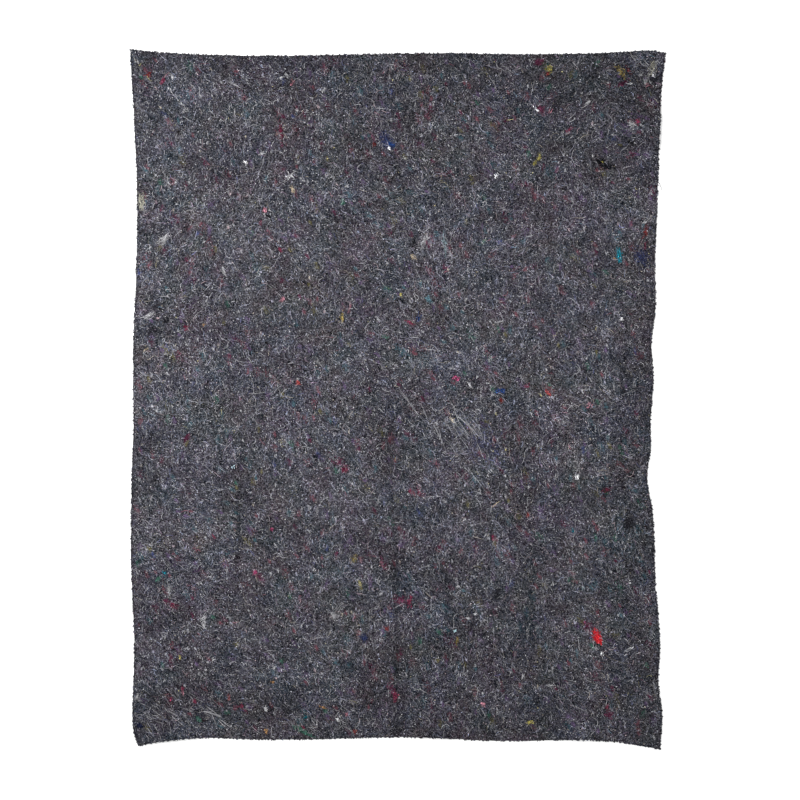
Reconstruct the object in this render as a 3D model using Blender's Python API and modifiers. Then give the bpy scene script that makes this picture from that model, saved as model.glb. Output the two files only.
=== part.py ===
"""A moving blanket: one flat sheet of needle-punched felt made from recycled fibre, opened out on the floor.

The sheet is about 1.37 by 1.83 m and 3 mm thick. It is cut with a knife and its edges are left raw. Handling has
pulled the corners out, so each side bows in between them. The folds that it was stored in have opened to soft
creases: the felt stands a few millimetres clear of the floor beside them, and lies flat elsewhere.

Metres, +X to the right and +Y away from the near short side. The origin is on the floor, under the middle of the
sheet's box.
"""

from collections import namedtuple

import bpy
import numpy as np

NAME = "Moving blanket"
NODE = "blanket_felt"

THICKNESS = 0.003
COLUMNS = 40
ROWS = 54

FELT_COLOUR = (0.083, 0.080, 0.095, 1.0)
FELT_ROUGHNESS = 0.95

# The corners, from the middle of the sheet
NEAR_LEFT = (-0.687, -0.921)
NEAR_RIGHT = (0.695, -0.927)
FAR_LEFT = (-0.709, 0.927)
FAR_RIGHT = (0.708, 0.912)

# Points on each side between its corners: how far along the side, and how far out from the sheet's middle line
EdgePoint = namedtuple("EdgePoint", "along out")
LEFT_SIDE = [
    EdgePoint(-0.895, 0.696),
    EdgePoint(-0.780, 0.701),
    EdgePoint(-0.700, 0.698),
    EdgePoint(-0.425, 0.706),
    EdgePoint(-0.225, 0.705),
    EdgePoint(-0.065, 0.700),
    EdgePoint(0.135, 0.700),
    EdgePoint(0.255, 0.696),
    EdgePoint(0.490, 0.690),
    EdgePoint(0.730, 0.697),
    EdgePoint(0.885, 0.707),
]
RIGHT_SIDE = [
    EdgePoint(-0.900, 0.697),
    EdgePoint(-0.820, 0.699),
    EdgePoint(-0.775, 0.692),
    EdgePoint(-0.640, 0.694),
    EdgePoint(-0.545, 0.688),
    EdgePoint(-0.500, 0.683),
    EdgePoint(-0.385, 0.680),
    EdgePoint(-0.265, 0.670),
    EdgePoint(-0.225, 0.661),
    EdgePoint(-0.185, 0.662),
    EdgePoint(-0.145, 0.669),
    EdgePoint(-0.065, 0.669),
    EdgePoint(0.055, 0.677),
    EdgePoint(0.135, 0.672),
    EdgePoint(0.255, 0.683),
    EdgePoint(0.370, 0.681),
    EdgePoint(0.490, 0.686),
    EdgePoint(0.730, 0.695),
    EdgePoint(0.850, 0.701),
    EdgePoint(0.895, 0.707),
]
NEAR_SIDE = [
    EdgePoint(-0.630, 0.907),
    EdgePoint(-0.550, 0.898),
    EdgePoint(-0.350, 0.901),
    EdgePoint(0.085, 0.896),
    EdgePoint(0.245, 0.904),
    EdgePoint(0.560, 0.906),
    EdgePoint(0.640, 0.916),
]
FAR_SIDE = [
    EdgePoint(-0.630, 0.919),
    EdgePoint(-0.550, 0.914),
    EdgePoint(-0.390, 0.910),
    EdgePoint(-0.230, 0.911),
    EdgePoint(0.085, 0.917),
    EdgePoint(0.400, 0.914),
    EdgePoint(0.600, 0.920),
    EdgePoint(0.665, 0.925),
]

# Swells lift the felt off the floor, and creases press it back down. Each runs along a straight line from start
# to end, fades out towards its two ends, and reaches so far to either side of the line. One that runs on past the
# edge starts or ends outside it.
Fold = namedtuple("Fold", "start end reach height")
SWELLS = [
    Fold((-0.100, 0.150), (-0.110, -0.900), 0.095, 0.0050),
    Fold((0.085, 0.180), (0.095, -1.050), 0.085, 0.0045),
    Fold((-0.350, 0.220), (-0.355, -0.720), 0.080, 0.0035),
    Fold((-0.490, 0.050), (-0.500, -0.720), 0.075, 0.0030),
    Fold((-0.850, 0.020), (-0.340, 0.000), 0.120, 0.0060),
    Fold((-0.900, 0.215), (-0.060, 0.225), 0.070, 0.0040),
    Fold((-0.020, 0.240), (0.330, 0.250), 0.075, 0.0035),
    Fold((0.130, 0.515), (0.520, 0.520), 0.080, 0.0035),
    Fold((0.285, 0.150), (0.275, -0.850), 0.080, 0.0045),
    Fold((0.490, -0.180), (0.495, -0.950), 0.110, 0.0070),
    Fold((0.560, 0.420), (0.555, -0.480), 0.100, 0.0075),
    Fold((0.300, 0.720), (0.900, 0.700), 0.110, 0.0060),
    Fold((-0.560, 1.150), (-0.520, 0.420), 0.130, 0.0040),
    Fold((-0.130, 1.150), (-0.160, 0.450), 0.120, 0.0035),
    Fold((-0.640, -0.550), (-0.560, -1.100), 0.110, 0.0045),
]
CREASES = [
    Fold((-0.017, 0.260), (0.001, -1.150), 0.030, 0.0060),
    Fold((-0.414, 0.220), (-0.421, -0.640), 0.030, 0.0045),
    Fold((0.364, 0.200), (0.368, -0.120), 0.030, 0.0030),
    Fold((0.362, -0.180), (0.366, -0.950), 0.050, 0.0050),
    Fold((-0.850, 0.172), (-0.100, 0.172), 0.030, 0.0045),
    Fold((-0.060, 0.205), (0.290, 0.205), 0.030, 0.0035),
    Fold((0.150, 0.475), (0.500, 0.475), 0.030, 0.0030),
    Fold((0.380, -0.272), (0.800, -0.272), 0.045, 0.0060),
    Fold((0.380, 0.640), (0.800, 0.640), 0.050, 0.0050),
]


def clear_scene():
    for old in list(bpy.data.objects):
        bpy.data.objects.remove(old, do_unlink=True)


def smooth_curve(at, points):
    """The height, at each of the given places, of a smooth curve through the points."""
    along, out = np.array(points).T
    slope = np.gradient(out, along)
    left = np.clip(np.searchsorted(along, at) - 1, 0, len(along) - 2)
    step = along[left + 1] - along[left]
    t = (at - along[left]) / step
    ends = (1 + 2 * t) * (1 - t) ** 2 * out[left] + t**2 * (3 - 2 * t) * out[left + 1]
    slopes = t * (1 - t) ** 2 * slope[left] + t**2 * (t - 1) * slope[left + 1]
    return ends + step * slopes


def mix(start, end, share):
    """The points that divide a line from start to end in the given shares."""
    start, end, share = np.asarray(start), np.asarray(end), np.asarray(share)
    return start + (end - start) * share[..., None]


def upright_side(low, high, points, sign, share):
    """Points on the left (sign -1) or right (sign 1) side, which runs from its low corner to its high one."""
    stations = [(low[1], sign * low[0]), *points, (high[1], sign * high[0])]
    y = low[1] + (high[1] - low[1]) * share
    return np.stack([sign * smooth_curve(y, stations), y], axis=-1)


def level_side(left, right, points, sign, share):
    """Points on the near (sign -1) or far (sign 1) side, which runs from its left corner to its right one."""
    stations = [(left[0], sign * left[1]), *points, (right[0], sign * right[1])]
    x = left[0] + (right[0] - left[0]) * share
    return np.stack([x, sign * smooth_curve(x, stations)], axis=-1)


def place_in_outline(across, up):
    """Where the points at these shares of the sheet's width and length lie, inside its four curved sides."""
    left = upright_side(NEAR_LEFT, FAR_LEFT, LEFT_SIDE, -1, up)
    right = upright_side(NEAR_RIGHT, FAR_RIGHT, RIGHT_SIDE, 1, up)
    near = level_side(NEAR_LEFT, NEAR_RIGHT, NEAR_SIDE, -1, across)
    far = level_side(FAR_LEFT, FAR_RIGHT, FAR_SIDE, 1, across)
    between_uprights = left + (right - left) * across[:, None]
    between_levels = near + (far - near) * up[:, None]
    between_corners = mix(mix(NEAR_LEFT, FAR_LEFT, up), mix(NEAR_RIGHT, FAR_RIGHT, up), across)
    return between_uprights + between_levels - between_corners


def fold_height(spot, fold):
    """How much of a fold's height there is at each spot: all of it on its line, and none past its reach."""
    start, end = np.array(fold.start), np.array(fold.end)
    line = end - start
    share = (spot - start) @ line / (line @ line)
    aside = np.linalg.norm(spot - start - np.clip(share, 0, 1)[:, None] * line, axis=1)
    across = np.cos(0.5 * np.pi * np.clip(aside / fold.reach, 0, 1)) ** 2
    along = np.sin(np.pi * np.clip(share, 0, 1)) ** 0.5
    return fold.height * across * along


def underside_height(spot):
    """How far the underside of the felt is above the floor at each spot."""
    swells = sum(fold_height(spot, fold) for fold in SWELLS)
    creases = sum(fold_height(spot, fold) for fold in CREASES)
    return np.maximum(swells - creases, 0.0)


def felt_material():
    material = bpy.data.materials.new("felt")
    material.use_nodes = True
    shader = material.node_tree.nodes["Principled BSDF"]
    shader.inputs["Base Color"].default_value = FELT_COLOUR
    shader.inputs["Roughness"].default_value = FELT_ROUGHNESS
    shader.inputs["Metallic"].default_value = 0.0
    return material


def felt_sheet(collection):
    """The whole blanket: a grid moved into the sheet's outline and folds, then given its thickness upwards."""
    bpy.ops.mesh.primitive_grid_add(x_subdivisions=COLUMNS, y_subdivisions=ROWS, size=1.0)
    sheet = bpy.context.object
    sheet.name = NODE
    for owner in list(sheet.users_collection):
        owner.objects.unlink(sheet)
    collection.objects.link(sheet)

    grid = np.empty(len(sheet.data.vertices) * 3)
    sheet.data.vertices.foreach_get("co", grid)
    shares = grid.reshape(-1, 3)[:, :2] + 0.5
    spot = place_in_outline(shares[:, 0], shares[:, 1])
    height = underside_height(spot)
    middle = (spot.min(axis=0) + spot.max(axis=0)) / 2
    placed = np.column_stack([spot - middle, height])
    sheet.data.vertices.foreach_set("co", placed.ravel())
    sheet.data.update()

    thicken = sheet.modifiers.new("Thickness", "SOLIDIFY")
    thicken.thickness = THICKNESS
    thicken.offset = 1.0
    thicken.use_rim = True
    sheet.data.shade_smooth()
    sheet.data.set_sharp_from_angle(angle=np.radians(40))
    sheet.data.materials.append(felt_material())
    return sheet


def main():
    clear_scene()
    collection = bpy.data.collections.new(NAME)
    bpy.context.scene.collection.children.link(collection)
    felt_sheet(collection)


main()
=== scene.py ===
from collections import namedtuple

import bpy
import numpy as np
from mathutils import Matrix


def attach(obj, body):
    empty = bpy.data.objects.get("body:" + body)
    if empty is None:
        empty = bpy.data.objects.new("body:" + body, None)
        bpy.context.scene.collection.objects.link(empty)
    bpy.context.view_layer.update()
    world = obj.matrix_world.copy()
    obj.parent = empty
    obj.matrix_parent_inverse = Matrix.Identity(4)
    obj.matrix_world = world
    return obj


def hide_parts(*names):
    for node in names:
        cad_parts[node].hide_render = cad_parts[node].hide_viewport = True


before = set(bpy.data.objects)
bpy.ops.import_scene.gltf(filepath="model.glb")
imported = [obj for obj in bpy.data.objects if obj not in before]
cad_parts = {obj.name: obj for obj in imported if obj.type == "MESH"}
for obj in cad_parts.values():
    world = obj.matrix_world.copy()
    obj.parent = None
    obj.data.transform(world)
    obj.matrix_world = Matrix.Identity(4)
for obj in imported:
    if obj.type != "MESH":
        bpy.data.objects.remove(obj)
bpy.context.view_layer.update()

# The looks of a moving blanket: one sheet of needle-punched felt made from recycled fibre, opened out on
# the floor. A closed sheet carries the felt's mottled ground, with painted shade and light along its folds,
# across it and at its rim, and fibres by the thousand lie on it: grains, hairs, curls and glints, small
# coloured clouds, scraps and tufts, long strands, and short ends along the cut edges. Dark knots and clouds
# in the pits and gaps of the mat are painted shade. Metres, +X right, +Y away, +Z up.

NODE = "blanket_felt"
BODY = "root"
MILLIMETRE = 0.001
# Too short a length to matter, which keeps a division by a length from failing
TINY = 1e-9

# Every set of random draws starts from this number and its own.
SEED = 20
TOP_SEED = 100
UNDER_SEED = 120
CLOUD_SEED = 200
FLECK_SEED = 210
TUFT_SEED = 215
STRAND_SEED = 220
EDGE_SEED = 300

# The camera looks straight down. The picture shows so wide a strip of floor, with this spot at its middle.
VIEW_WIDTH = 2.12
VIEW_MIDDLE = (0.0065, -0.0016)
LENS_MM = 85.0
SENSOR_MM = 36.0

# The floor's paint and glow, the key light from the upper left, and the strength of the pale surround
FLOOR_SIZE = 40
FLOOR_PAINT = (0.9, 0.9, 0.9, 1)
FLOOR_GLOW = 0.25
WHITE = (1, 1, 1, 1)
KEY_PLACE = (-2.6, 1.9, 3.2)
KEY_SIZE = 2.6
KEY_WATTS = 190
SURROUND = 0.75

# A place in the photograph, in its 800 by 800 pixels, becomes a place on the sheet in metres.
PHOTO_PIXEL = 0.00265
PHOTO_MIDDLE = (397.55, 399.4)

# The sheet as cut, and how thick the felt is
THICKNESS = 0.003
RIM_DROP = 0.1 * THICKNESS
FLOOR_CLEARANCE = 0.0004
SHEET_COLUMNS = 140
SHEET_ROWS = 184

# The corners, from the middle of the sheet
NEAR_LEFT = (-0.688, -0.918)
NEAR_RIGHT = (0.695, -0.927)
FAR_LEFT = (-0.709, 0.927)
FAR_RIGHT = (0.709, 0.917)
# The middle of the solid's box, in the same measures: it goes on the world's origin.
SHEET_MIDDLE = np.array([-0.0005, 0.0])

# Points on each side between its corners: how far along it, and how far out from the sheet's middle line
EdgePoint = namedtuple("EdgePoint", "along out")
LEFT_SIDE = [EdgePoint(*row) for row in (
    (-0.895, 0.696), (-0.78, 0.701), (-0.7, 0.698), (-0.425, 0.706), (-0.225, 0.705),
    (-0.065, 0.7), (0.135, 0.7), (0.255, 0.696), (0.49, 0.69), (0.73, 0.697),
    (0.885, 0.707),
)]
RIGHT_SIDE = [EdgePoint(*row) for row in (
    (-0.9, 0.697), (-0.82, 0.699), (-0.775, 0.692), (-0.64, 0.694), (-0.545, 0.688),
    (-0.5, 0.683), (-0.385, 0.68), (-0.265, 0.67), (-0.225, 0.661), (-0.185, 0.662),
    (-0.145, 0.669), (-0.065, 0.669), (0.055, 0.677), (0.135, 0.672), (0.255, 0.683),
    (0.37, 0.681), (0.49, 0.686), (0.73, 0.695), (0.85, 0.701), (0.895, 0.707),
)]
NEAR_SIDE = [EdgePoint(*row) for row in (
    (-0.63, 0.907), (-0.55, 0.898), (-0.35, 0.901), (0.085, 0.896), (0.245, 0.904),
    (0.56, 0.906), (0.64, 0.916),
)]
FAR_SIDE = [EdgePoint(*row) for row in (
    (-0.63, 0.919), (-0.55, 0.914), (-0.39, 0.91), (-0.23, 0.911), (0.085, 0.917),
    (0.4, 0.914), (0.6, 0.92), (0.665, 0.924), (0.692, 0.921),
)]

# Swells lift the felt off the floor, and creases press it back down. Each runs along a straight line from
# start to end, fades out towards its two ends, and reaches so far to either side of the line. One that runs
# on past the edge starts or ends outside it.
Fold = namedtuple("Fold", "start end reach height")
SWELLS = [Fold(*row) for row in (
    ((-0.1, 0.15), (-0.11, -0.9), 0.095, 0.005), ((0.085, 0.18), (0.095, -1.05), 0.085, 0.0045),
    ((-0.35, 0.22), (-0.355, -0.72), 0.08, 0.0035), ((-0.49, 0.05), (-0.5, -0.72), 0.075, 0.003),
    ((-0.85, 0.02), (-0.34, 0.0), 0.12, 0.006), ((-0.9, 0.215), (-0.06, 0.225), 0.07, 0.004),
    ((-0.02, 0.24), (0.33, 0.25), 0.075, 0.0035), ((0.13, 0.515), (0.52, 0.52), 0.08, 0.0035),
    ((0.285, 0.15), (0.275, -0.85), 0.08, 0.0045), ((0.49, -0.18), (0.495, -0.95), 0.11, 0.007),
    ((0.56, 0.42), (0.555, -0.48), 0.1, 0.0075), ((0.3, 0.72), (0.9, 0.7), 0.11, 0.006),
    ((-0.56, 1.15), (-0.52, 0.42), 0.13, 0.004), ((-0.13, 1.15), (-0.16, 0.45), 0.12, 0.0035),
    ((-0.64, -0.55), (-0.56, -1.1), 0.11, 0.0045),
)]
CREASES = [Fold(*row) for row in (
    ((-0.017, 0.26), (0.001, -1.15), 0.03, 0.006), ((-0.414, 0.22), (-0.421, -0.64), 0.03, 0.0045),
    ((0.364, 0.2), (0.368, -0.12), 0.03, 0.003), ((0.362, -0.18), (0.366, -0.95), 0.05, 0.005),
    ((-0.85, 0.172), (-0.1, 0.172), 0.03, 0.0045), ((-0.06, 0.205), (0.29, 0.205), 0.03, 0.0035),
    ((0.15, 0.475), (0.5, 0.475), 0.03, 0.003), ((0.38, -0.272), (0.8, -0.272), 0.045, 0.006),
    ((0.38, 0.64), (0.8, 0.64), 0.05, 0.005),
)]

# Felt is uneven: its thickness, its mix of fibre, its cut edge, its grain and its cast each follow smooth
# random surfaces, with the width of their lumps in metres, their strength, and the number that their values
# start from. They are drawn over a square of this width, whose corner is this far to the left of the middle
# and before it.
Layer = namedtuple("Layer", "cell depth seed")
BATT_LUMPS = [Layer(0.045, 0.00035, 1), Layer(0.022, 0.0003, 2)]
MOTTLE = [Layer(0.16, 0.06, 11), Layer(0.07, 0.15, 12), Layer(0.034, 0.19, 13), Layer(0.016, 0.18, 14)]
RIM_WOBBLE = [Layer(0.013, 0.0007, 21), Layer(0.034, 0.0007, 22)]
GRAIN_SWAY = [Layer(0.16, 0.55, 31), Layer(0.06, 0.45, 32)]
WARM_CAST = [Layer(0.06, 0.6, 41), Layer(0.026, 0.6, 42), Layer(0.012, 0.3, 43)]
BLUE_CAST = [Layer(0.07, 0.6, 44), Layer(0.03, 0.5, 45), Layer(0.013, 0.3, 46)]
SQUARE_WIDTH = 2.4
SQUARE_CORNER = 1.15

# Where the felt is painted paler (gain over 1) or darker (under 1), as soft patches in metres on the sheet:
# partly the uneven mix of fibre, partly painted light and shade of the light's fall across it, brighter on
# the left and darker towards the top, the bottom and the right
Patch = namedtuple("Patch", "x y reach_x reach_y gain")
MIX_AND_SHADE_PATCHES = [Patch(*row) for row in (
    (-0.52, 0.45, 0.45, 0.6, 1.11), (-0.58, 0.03, 0.3, 0.18, 1.17), (0.02, 0.33, 0.4, 0.35, 1.1),
    (0.0, -0.12, 0.8, 0.45, 1.08), (0.62, 0.85, 0.4, 0.25, 0.78), (0.66, 0.0, 0.12, 0.55, 0.78),
    (0.35, -0.65, 0.1, 0.4, 0.88), (0.36, -0.84, 0.16, 0.12, 0.86), (0.65, -0.85, 0.25, 0.3, 0.84),
    (-0.5, -0.81, 0.35, 0.18, 0.82), (0.1, 0.42, 0.1, 0.14, 1.18), (0.14, 0.3, 0.14, 0.2, 1.08),
    (-0.34, 0.56, 0.1, 0.12, 1.14), (-0.05, 0.58, 0.09, 0.2, 0.88), (0.32, 0.79, 0.14, 0.13, 0.84),
    (0.18, -0.43, 0.1, 0.14, 0.82), (0.0, 0.95, 1.6, 0.8, 0.85), (0.0, -0.95, 1.6, 0.6, 0.88),
    (-0.53, 0.89, 0.14, 0.09, 0.88), (0.04, 0.62, 0.12, 0.14, 0.9), (0.3, 0.72, 0.11, 0.13, 0.9),
    (0.17, 0.36, 0.1, 0.09, 1.12), (0.66, -0.4, 0.07, 0.36, 0.88), (-0.05, -0.6, 0.06, 0.09, 0.92),
    (-0.06, -0.44, 0.09, 0.14, 1.1), (0.4, -0.72, 0.13, 0.24, 0.88),
)]

# Lines where the felt was folded, painted darker or paler: painted shade in and beside the creases and
# painted light on their lit flanks, and in part the fibre worn and pressed there.
Line = namedtuple("Line", "start end reach gain")
WEAR_AND_SHADE_LINES = [Line(*row) for row in (
    ((-0.026, 0.02), (-0.004, -0.52), 0.011, 0.7), ((-0.005, -0.3), (-0.003, -1.0), 0.012, 0.56),
    ((0.014, -0.1), (0.018, -0.9), 0.026, 0.92), ((-0.017, 0.26), (-0.014, -0.05), 0.014, 0.84),
    ((-0.41, 0.14), (-0.412, -0.26), 0.013, 0.8), ((-0.413, -0.14), (-0.432, -0.54), 0.014, 0.56),
    ((-0.478, -0.06), (-0.46, -0.3), 0.012, 0.8), ((0.364, 0.16), (0.364, -0.09), 0.016, 0.82),
    ((0.13, -0.35), (0.145, -0.8), 0.024, 0.8), ((0.19, -0.52), (0.195, -0.9), 0.016, 0.84),
    ((0.352, -0.3), (0.356, -0.76), 0.05, 0.84), ((0.285, -0.25), (0.285, -0.72), 0.03, 1.1),
    ((0.495, -0.32), (0.5, -0.74), 0.03, 1.08), ((-0.75, 0.176), (-0.15, 0.176), 0.014, 0.72),
    ((-0.75, 0.25), (-0.42, 0.25), 0.012, 0.8), ((-0.74, 0.12), (-0.36, 0.12), 0.03, 1.1),
    ((0.0, 0.205), (0.23, 0.205), 0.014, 0.88), ((0.2, 0.476), (0.44, 0.476), 0.014, 0.88),
    ((0.42, -0.272), (0.72, -0.272), 0.04, 0.86), ((0.42, 0.65), (0.72, 0.63), 0.045, 0.88),
    ((-0.74, -0.09), (-0.42, -0.1), 0.03, 0.88), ((0.59, 0.2), (0.6, -0.36), 0.05, 0.86),
    ((-0.8, 0.9), (0.3, 0.9), 0.06, 0.86),
)]

# Linear colours of the recycled fibres
HUES = {
    "ash": (0.08, 0.0788, 0.099),
    "slate": (0.068, 0.076, 0.106),
    "navy": (0.048, 0.052, 0.108),
    "clay": (0.1, 0.078, 0.084),
    "plum": (0.096, 0.07, 0.098),
    "moss": (0.077, 0.082, 0.078),
    "petrol": (0.056, 0.08, 0.104),
    "white": (0.0872, 0.087, 0.0925),
    "cream": (0.096, 0.086, 0.072),
    "rosewood": (0.125, 0.05, 0.066),
    "ink": (0.042, 0.054, 0.135),
    "bottle": (0.036, 0.094, 0.072),
    "olive": (0.108, 0.098, 0.048),
    "peacock": (0.046, 0.09, 0.112),
    "violet": (0.091, 0.062, 0.124),
    "red": (0.6, 0.028, 0.038),
    "crimson": (0.17, 0.03, 0.062),
    "wine": (0.078, 0.022, 0.044),
    "pink": (0.44, 0.19, 0.24),
    "magenta": (0.45, 0.08, 0.19),
    "yellow": (0.34, 0.3, 0.09),
    "ochre": (0.19, 0.145, 0.05),
    "amber": (0.48, 0.27, 0.12),
    "blue": (0.028, 0.08, 0.28),
    "sky": (0.3, 0.42, 0.46),
    "teal": (0.015, 0.16, 0.22),
    "rust": (0.32, 0.062, 0.062),
    "khaki": (0.36, 0.35, 0.29),
    "chalk": (0.5, 0.5, 0.52),
    "sand": (0.46, 0.38, 0.27),
    "midnight": (0.026, 0.031, 0.072),
    "black": (0.012, 0.012, 0.015),
}
HUE_NAMES = list(HUES)
HUE_COLOURS = np.array(list(HUES.values()))

# The ground between the fibres: its brightness against the felt's mean, its waves of shade (how many to the
# metre, and the gain in their troughs and on their crests), how far the local cast turns its red and its
# blue, and its fine relief
GROUND_LEVEL = 0.71
Wave = namedtuple("Wave", "scale low high")
GROUND_WAVES = [Wave(150.0, 0.4, 1.6), Wave(320.0, -0.1, 1.9), Wave(620.0, -0.3, 2.1)]
WAVE_RANGE = (0.25, 0.75)
DARKEST_GAIN = 0.12
WARM_TURN = 0.21
BLUE_TURN = 0.14
RELIEF_SCALE = 240.0
RELIEF_STRENGTH = 0.6
RELIEF_DEPTH = 0.002
# How rough the ground is, and how the colour of a fibre changes along it, with so many changes to the metre
GRAIN_RANGE = (0.3, 0.7)
GROUND_ROUGHNESS = (0.85, 1.0)
ROUGHNESS_SCALE = 180.0
FIBRE_GAIN = (0.88, 1.12)
FIBRE_SCALE = 420.0
FIBRE_ROUGHNESS = 0.8

# A fibre's brightness is one of these steps, so that every fibre has one of a limited set of colours.
LEVELS = np.geomspace(0.08, 7.0, 32)
# Each colour has a square cell of the fibres' colour map, and a face fills this share of its width.
CELL_FILL = 0.3

# The sheet's own colour map is a square: the upper face, and to its right a strip for the lower face and
# the rim, in bands one above the other
MAP_MARGIN = 0.005
UPPER_MAP = (0.755, 0.99)
STRIP_START = 0.77
STRIP_WIDTH = 0.225
STRIP_BANDS = 3
BAND_HEIGHT = 0.33
BAND_FILL = 0.98

# How many fibres of a kind lie on a face of the sheet, how many straight steps each has, their size in
# metres, and how they look. A fibre of one step is a knot: a small lozenge. bend is how far a fibre turns
# along its length and stray how far it strays from the grain, in radians; lift is how high its middle
# stands; level is its brightness against the felt's mean, or against what a table below says, and spread
# how much that varies. A value is None where the kind has no use for it or a table gives it. The length of
# the hairs of a tuft is a share of the tuft's own.
Kind = namedtuple("Kind", "name count steps length width bend stray lift level spread hues")
GROUND_HUES = {
    "ash": 12, "slate": 4, "navy": 0.8, "clay": 1.6, "plum": 2.8, "moss": 0.6, "petrol": 0.8, "rosewood": 0.3,
}
PALE_HUES = {"white": 10, "ash": 2.5, "slate": 0.4, "cream": 0.4, "clay": 0.4, "olive": 0.05}
CLOUD_HUES = {
    "rosewood": 10, "wine": 5, "violet": 9, "ink": 0.5, "bottle": 1.6, "olive": 3.0, "peacock": 5.8,
    "crimson": 0.2,
}
TOP_KINDS = [
    # The darkest knots, in the pits and the gaps between the fibres, are painted shade.
    Kind("pit_shade", 62000, 1, (0.003, 0.007), (0.0014, 0.0028), 0.0, 1.1, 0.0, 0.133, 0.42, GROUND_HUES),
    Kind("dark", 8000, 3, (0.008, 0.022), (0.0009, 0.0018), 0.9, 0.9, 0.0001, 0.24, 0.4, GROUND_HUES),
    Kind("grey", 10000, 3, (0.008, 0.022), (0.0007, 0.0013), 1.2, 0.9, 0.0003, 1.25, 0.4, GROUND_HUES),
    Kind("grains", 98000, 1, (0.0018, 0.005), (0.0009, 0.0017), 0.0, 1.1, 0.0004, 2.26, 0.5, PALE_HUES),
    Kind("gap_shade", 6000, 1, (0.003, 0.007), (0.002, 0.0034), 0.0, 3.1, 0.0008, 0.07, 0.3, GROUND_HUES),
    Kind("pale", 7600, 5, (0.008, 0.03), (0.0004, 0.0008), 1.3, 0.75, 0.0006, 2.7, 0.5, PALE_HUES),
    Kind("curls", 2400, 5, (0.006, 0.016), (0.0005, 0.0009), 3.6, 3.1, 0.0006, 2.9, 0.5, PALE_HUES),
    Kind("glints", 4000, 1, (0.0022, 0.0052), (0.0013, 0.0025), 0.0, 3.1, 0.0008, 6.6, 0.55, PALE_HUES),
]
UNDER_KINDS = [
    # The darkest knots below, in its pits, are painted shade.
    Kind("under_pit_shade", 12000, 1, (0.003, 0.007), (0.0014, 0.0028), 0.0, 1.2, None, 0.2, 0.4, GROUND_HUES),
    Kind("under_grains", 14000, 1, (0.002, 0.0055), (0.0009, 0.0018), 0.0, 1.2, None, 1.8, 0.5, PALE_HUES),
    Kind("under_hairs", 5000, 3, (0.008, 0.03), (0.0006, 0.0012), 0.9, 1.2, None, 1.8, 0.5, PALE_HUES),
]
# A fibre near a side is cut down to this many times its room there, and a little more.
LENGTH_TO_ROOM = 1.7
LEAST_LENGTH = 0.001
# Fibres lie this far above the sheet. Each is lifted by its own share of its kind's lift, its ends by less
# of it, and the middle of a knot by a little more.
BED = 0.0001
OWN_LIFT = (0.3, 1.3)
END_LIFT = 0.4
KNOT_RISE = 0.0001
# A fibre's width swells from a least share of it by this part of a half wave.
TIP_WIDTH = 0.35
TAPER = (0.08, 0.92)
# How much its bend changes from step to step
OWN_BEND = 0.35
# How much the brightness of a fibre changes from step to step: painted shade and light, as it dips into the
# mat and comes out again
CHANGE_ALONG = 0.35
# How strongly the local cast of the mix draws fibres of its own hue
TINT_PULL = 1.5

# The fibre is combed down and to the right nearly everywhere, and otherwise only in places: turn is the
# direction there, in degrees from the right.
GRAIN_TURN = 118.0
Combing = namedtuple("Combing", "px py reach turn")
COMBINGS = [Combing(*row) for row in (
    (170, 240, 0.2, 55), (200, 300, 0.12, 50), (285, 130, 0.16, 100), (430, 120, 0.2, 80),
    (560, 110, 0.2, 65), (515, 255, 0.14, 40), (430, 240, 0.14, 95), (450, 440, 0.3, 128),
    (350, 470, 0.25, 128), (220, 640, 0.2, 132), (230, 710, 0.14, 155), (320, 710, 0.14, 158),
    (560, 715, 0.14, 160), (600, 430, 0.16, 108), (170, 450, 0.16, 82),
)]

# Small clouds of short fibres, in this order: tinted, shady, deep and light ones. The tinted and light ones
# are scraps of cloth come apart; the shady and deep ones are dark clouds of painted shade in hollows of the
# mat. So many clouds, so many fibres in each, and how long the clouds are in metres
Cloud = namedtuple("Cloud", "count fibres size level hues")
CLOUDS = [
    Cloud(960, 38, (0.012, 0.04), 0.89, CLOUD_HUES),
    # The shady and deep clouds are painted shade.
    Cloud(400, 20, (0.008, 0.028), 0.13, GROUND_HUES),
    Cloud(70, 55, (0.016, 0.032), 0.1, GROUND_HUES),
    Cloud(580, 10, (0.004, 0.013), 3.6, PALE_HUES),
]
CLOUD_FIBRE = Kind("clouds", None, 1, (0.003, 0.008), (0.0009, 0.0016), 0.0, 0.6, 0.0003, 1.0, 0.34, None)
# Where on the sheet their middles lie, as shares of it, and how wide they are against their length
CLOUD_SHARES = (0.01, 0.99)
CLOUD_WIDTH = 0.5

# How the fibres of a cloud, scrap or tuft are scattered: how far out, as a share of its size, how evenly,
# and how ragged its outline is
SCATTER_REACH = 0.48
SCATTER_EVENNESS = 0.7
SCATTER_RAGGED = 0.25

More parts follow.
